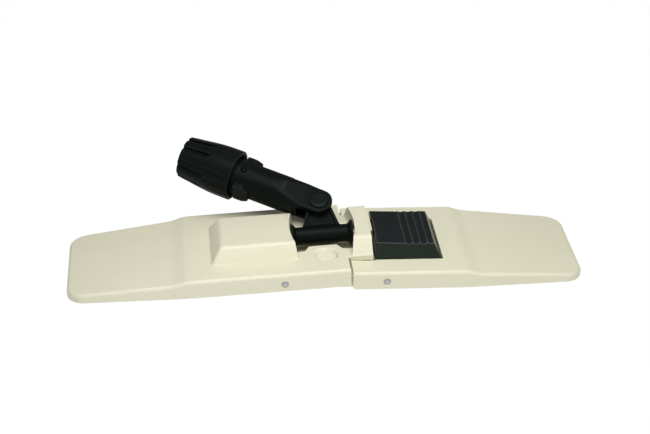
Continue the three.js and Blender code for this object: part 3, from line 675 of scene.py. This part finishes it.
# pedal spring: a wire swept along the coil and its two legs
def spring():
    cx, cz, r, wire = 45.0, 6.6, 3.55, 0.5
    pts = [(cx + 26, -4.4, cz - r + 0.1), (cx + 14, -4.3, cz - r + 0.05)]
    turns = 5.25
    n = 126
    for i in range(n + 1):
        a = -math.pi / 2 - turns * 2 * math.pi * i / n
        pts.append((cx + r * math.cos(a), -4.2 + 8.4 * i / n, cz + r * math.sin(a)))
    pts += [(cx + 2, 4.5, cz + 7.0), (cx + 12, 4.6, cz + 12.3)]
    cu = bpy.data.curves.new("spring_path", "CURVE")
    cu.dimensions = "3D"
    sp = cu.splines.new("NURBS")
    sp.points.add(len(pts) - 1)
    w = RIGHT.points(np.array(pts)) * MM
    for q, c in zip(sp.points, w):
        q.co = (*c, 1)
    sp.order_u = 4
    sp.use_endpoint_u = True
    sp.resolution_u = 3
    cu.bevel_depth = wire * MM
    cu.bevel_resolution = 3
    cu.use_fill_caps = True
    tmp = bpy.data.objects.new("spring_tmp", cu)
    bpy.context.scene.collection.objects.link(tmp)
    dg = bpy.context.evaluated_depsgraph_get()
    me = bpy.data.meshes.new_from_object(tmp.evaluated_get(dg))
    bpy.data.objects.remove(tmp)
    me.polygons.foreach_set("use_smooth", np.ones(len(me.polygons), bool))
    ob = bpy.data.objects.new("pedal_coil_spring", me)
    bpy.context.scene.collection.objects.link(ob)
    return ob


add(spring(), "right_half", "pedal_spring", "spring_steel")


# -------------------------------------------------------------- materials
def srgb(r, g, b):
    f = lambda c: (c / 255 / 12.92) if c / 255 <= 0.04045 else ((c / 255 + 0.055) / 1.055) ** 2.4
    return (f(r), f(g), f(b), 1.0)


class Mat:
    def __init__(self, name):
        self.m = bpy.data.materials.new(name)
        self.m.use_nodes = True
        self.t = self.m.node_tree
        self.p = self.t.nodes.get("Principled BSDF")
        self.xyz = self.t.nodes.new("ShaderNodeTexCoord").outputs["Object"]

    def node(self, kind, **v):
        n = self.t.nodes.new(kind)
        for k, x in v.items():
            if k in n.inputs:
                n.inputs[k].default_value = x
            else:
                setattr(n, k, x)
        return n

    def link(self, a, b):
        self.t.links.new(a, b)

    def scaled(self, sx, sy, sz):
        n = self.node("ShaderNodeMapping")
        n.inputs["Scale"].default_value = (sx, sy, sz)
        self.link(self.xyz, n.inputs["Vector"])
        return n.outputs["Vector"]

    def noise(self, scale, detail=3, rough=0.5, vec=None):
        n = self.node("ShaderNodeTexNoise")
        n.inputs["Scale"].default_value = scale
        n.inputs["Detail"].default_value = detail
        n.inputs["Roughness"].default_value = rough
        self.link(vec or self.xyz, n.inputs["Vector"])
        return n.outputs["Fac"]

    def ramp(self, fac, stops):
        n = self.node("ShaderNodeValToRGB")
        cr = n.color_ramp
        while len(cr.elements) < len(stops):
            cr.elements.new(0.5)
        for e, (p, c) in zip(cr.elements, stops):
            e.position = p
            e.color = c
        self.link(fac, n.inputs["Fac"])
        return n.outputs["Color"]

    def remap(self, fac, a, b, c, d):
        n = self.node("ShaderNodeMapRange")
        for k, v in zip(("From Min", "From Max", "To Min", "To Max"), (a, b, c, d)):
            n.inputs[k].default_value = v
        self.link(fac, n.inputs["Value"])
        return n.outputs["Result"]

    def mix(self, fac, a, b):
        n = self.node("ShaderNodeMix", data_type="RGBA")
        if hasattr(fac, "links"):
            self.link(fac, n.inputs[0])
        else:
            n.inputs[0].default_value = fac
        for s, v in ((6, a), (7, b)):
            if hasattr(v, "links"):
                self.link(v, n.inputs[s])
            else:
                n.inputs[s].default_value = v
        return n.outputs[2]

    def math(self, op, a, b=None):
        n = self.node("ShaderNodeMath", operation=op)
        for s, v in ((0, a), (1, b)):
            if v is None:
                continue
            if hasattr(v, "links"):
                self.link(v, n.inputs[s])
            else:
                n.inputs[s].default_value = v
        return n.outputs[0]

    def edge(self):
        n = self.node("ShaderNodeAttribute", attribute_name="edge")
        return n.outputs["Fac"]

    def bump(self, height, distance, strength=1.0, normal=None):
        n = self.node("ShaderNodeBump")
        n.inputs["Distance"].default_value = distance
        n.inputs["Strength"].default_value = strength
        self.link(height, n.inputs["Height"])
        if normal is not None:
            self.link(normal, n.inputs["Normal"])
        return n.outputs["Normal"]

    def finish(self, color, rough, normal=None, metallic=0.0, spec=0.5):
        self.link(color, self.p.inputs["Base Color"])
        self.link(rough, self.p.inputs["Roughness"])
        if normal is not None:
            self.link(normal, self.p.inputs["Normal"])
        self.p.inputs["Metallic"].default_value = metallic
        self.p.inputs["Specular IOR Level"].default_value = spec
        return self.m


def cream():
    m = Mat("cream_plastic")
    broad = m.noise(9, 2)
    flow = m.noise(26, 3, 0.55, m.scaled(0.25, 1.6, 1.0))
    fine = m.noise(900, 2)
    specks = m.noise(240, 4, 0.6)
    base = m.mix(m.remap(broad, 0.3, 0.7, 0, 1), srgb(229, 226, 202), srgb(224, 221, 195))
    base = m.mix(m.remap(flow, 0.42, 0.72, 0, 0.35), base, srgb(219, 218, 190))
    base = m.mix(m.remap(specks, 0.66, 0.8, 0, 0.10), base, srgb(186, 180, 150))
    e = m.edge()
    # painted highlight: rounded outer edges (positive curvature) are lightened towards near white
    base = m.mix(m.remap(e, 0.25, 1.2, 0, 0.35), base, srgb(240, 239, 224))
    # painted shade: inner corners and creases (negative curvature) are darkened towards an olive yellow
    base = m.mix(m.remap(e, -0.15, -1.2, 0, 0.35), base, srgb(196, 194, 150))
    rough = m.math("ADD", m.remap(broad, 0.3, 0.7, 0.36, 0.44), m.remap(fine, 0.3, 0.7, -0.03, 0.05))
    n = m.bump(fine, 0.00003, 0.35)
    n = m.bump(flow, 0.0002, 0.12, n)
    m.p.inputs["Subsurface Weight"].default_value = 0.0
    return m.finish(base, rough, n, spec=0.38)


def black(name, lo=(9, 14, 12), hi=(13, 19, 16), rough=(0.4, 0.5), grain=1400, edge=(44, 54, 50), slopes=None, spec=0.07):
    m = Mat(name)
    broad = m.noise(22, 3)
    fine = m.noise(grain, 2)
    scuff = m.noise(60, 5, 0.65, m.scaled(0.4, 1, 2.5))
    base = m.mix(m.remap(broad, 0.3, 0.7, 0, 1), srgb(*lo), srgb(*hi))
    base = m.mix(m.remap(scuff, 0.64, 0.8, 0, 0.14), base, srgb(50, 56, 52))
    e = m.edge()
    # painted highlight: rounded outer edges are mixed towards the lighter edge colour
    base = m.mix(m.remap(e, 0.35, 1.6, 0, 0.45), base, srgb(*edge))
    r = m.math("ADD", m.remap(broad, 0.3, 0.7, rough[0], rough[1]), m.remap(scuff, 0.6, 0.8, 0, 0.12))
    if slopes:
        up = m.node("ShaderNodeAttribute", attribute_name="up").outputs["Fac"]
        lean = m.remap(up, 0.9, 0.6, 0.0, 1.0)
        r = m.math("SUBTRACT", r, m.math("MULTIPLY", lean, slopes))
        # painted reflection: faces that lean away from straight up, such as the pedal's front and end slopes, are
        # lightened to a green grey (the lower roughness above is real)
        base = m.mix(lean, base, srgb(36, 43, 37))
    n = m.bump(fine, 0.00004, 0.4)
    return m.finish(base, r, n, spec=spec)


def metal(name, tint, rough, axis=(1, 60, 60)):
    m = Mat(name)
    lines = m.noise(40, 4, 0.6, m.scaled(*axis))
    blot = m.noise(260, 3)
    base = m.mix(m.remap(lines, 0.3, 0.7, 0, 1), srgb(*tint), srgb(*[max(c - 34, 0) for c in tint]))
    base = m.mix(m.remap(blot, 0.62, 0.75, 0, 0.4), base, srgb(120, 118, 110))
    r = m.math("ADD", m.remap(lines, 0.3, 0.7, rough, rough + 0.14), m.remap(blot, 0.5, 0.8, 0, 0.2))
    n = m.bump(lines, 0.00003, 0.4)
    return m.finish(base, r, n, metallic=1.0)


# the edge colour passed to black() is a painted highlight colour for rounded outer edges; the pedal's is the lightest
MATS = {
    "cream_plastic": cream(),
    "black_plastic": black("black_plastic"),
    "nut_plastic": black("nut_plastic", rough=(0.4, 0.52), edge=(42, 50, 47)),
    "pedal_plastic": black("pedal_plastic", (17, 21, 22), (24, 28, 29), (0.36, 0.44), 1600, (118, 128, 122), slopes=0.2, spec=0.16),
    "cap_plastic": black("cap_plastic", (14, 19, 19), (20, 26, 26), (0.26, 0.34), 1400, (70, 78, 76)),
    "collet_plastic": black("collet_plastic", (36, 40, 40), (46, 50, 50), (0.3, 0.4)),
    "washer_plastic": black("washer_plastic", (52, 56, 55), (62, 66, 64), (0.4, 0.5)),
    "zinc_steel": metal("zinc_steel", (196, 198, 196), 0.28),
    "spring_steel": metal("spring_steel", (170, 172, 172), 0.25),
}
for ob in pieces.values():
    ob.data.materials.clear()
    ob.data.materials.append(MATS[ob["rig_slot"]])

# ------------------------------------------------------------ floor, lights
def plane(name, size, loc, color, rough):
    me = bpy.data.meshes.new(name)
    s = size / 2
    me.from_pydata([(-s, -s, 0), (s, -s, 0), (s, s, 0), (-s, s, 0)], [], [(0, 1, 2, 3)])
    ob = bpy.data.objects.new(name, me)
    ob.location = loc
    bpy.context.scene.collection.objects.link(ob)
    m = bpy.data.materials.new(name)
    m.use_nodes = True
    p = m.node_tree.nodes["Principled BSDF"]
    p.inputs["Base Color"].default_value = color
    p.inputs["Roughness"].default_value = rough
    p.inputs["Specular IOR Level"].default_value = 0.2
    me.materials.append(m)
    return ob


floor = plane("floor", 12.0, (0, 0, -0.3), (0.1, 0.1, 0.1, 1), 0.95)
_fp = floor.data.materials[0].node_tree.nodes["Principled BSDF"]
_fp.inputs["Emission Color"].default_value = (1, 1, 1, 1)
_fp.inputs["Emission Strength"].default_value = 0.97


def area(name, loc, target, size, power, color=(1, 1, 1)):
    d = bpy.data.lights.new(name, "AREA")
    d.shape = "RECTANGLE"
    d.size, d.size_y = size
    d.energy = power
    d.color = color
    ob = bpy.data.objects.new(name, d)
    ob.location = loc
    v = Vector(target) - Vector(loc)
    ob.rotation_euler = v.to_track_quat("-Z", "Y").to_euler()
    bpy.context.scene.collection.objects.link(ob)
    return ob


area("key", (0.02, -0.24, 0.6), (0.01, -0.02, 0.02), (0.6, 0.5), 4.05)
area("front", (0.06, -0.7, 0.14), (0.02, -0.05, 0.01), (0.7, 0.2), 0.42)
_sd = bpy.data.lights.new("accent", "SPOT")
_sd.energy = 2.3
_sd.spot_size = 0.44
_sd.spot_blend = 1.0
_sd.shadow_soft_size = 0.28
_so = bpy.data.objects.new("accent", _sd)
_so.location = (0.04, -0.17, 0.5)
_so.rotation_euler = (Vector((0.018, -0.035, 0.02)) - Vector(_so.location)).to_track_quat("-Z", "Y").to_euler()
bpy.context.scene.collection.objects.link(_so)

world = bpy.data.worlds.new("world")
world.use_nodes = True
world.node_tree.nodes["Background"].inputs["Color"].default_value = (1, 1, 1, 1)
world.node_tree.nodes["Background"].inputs["Strength"].default_value = 0.2
bpy.context.scene.world = world
bpy.context.scene.view_settings.view_transform = "Standard"
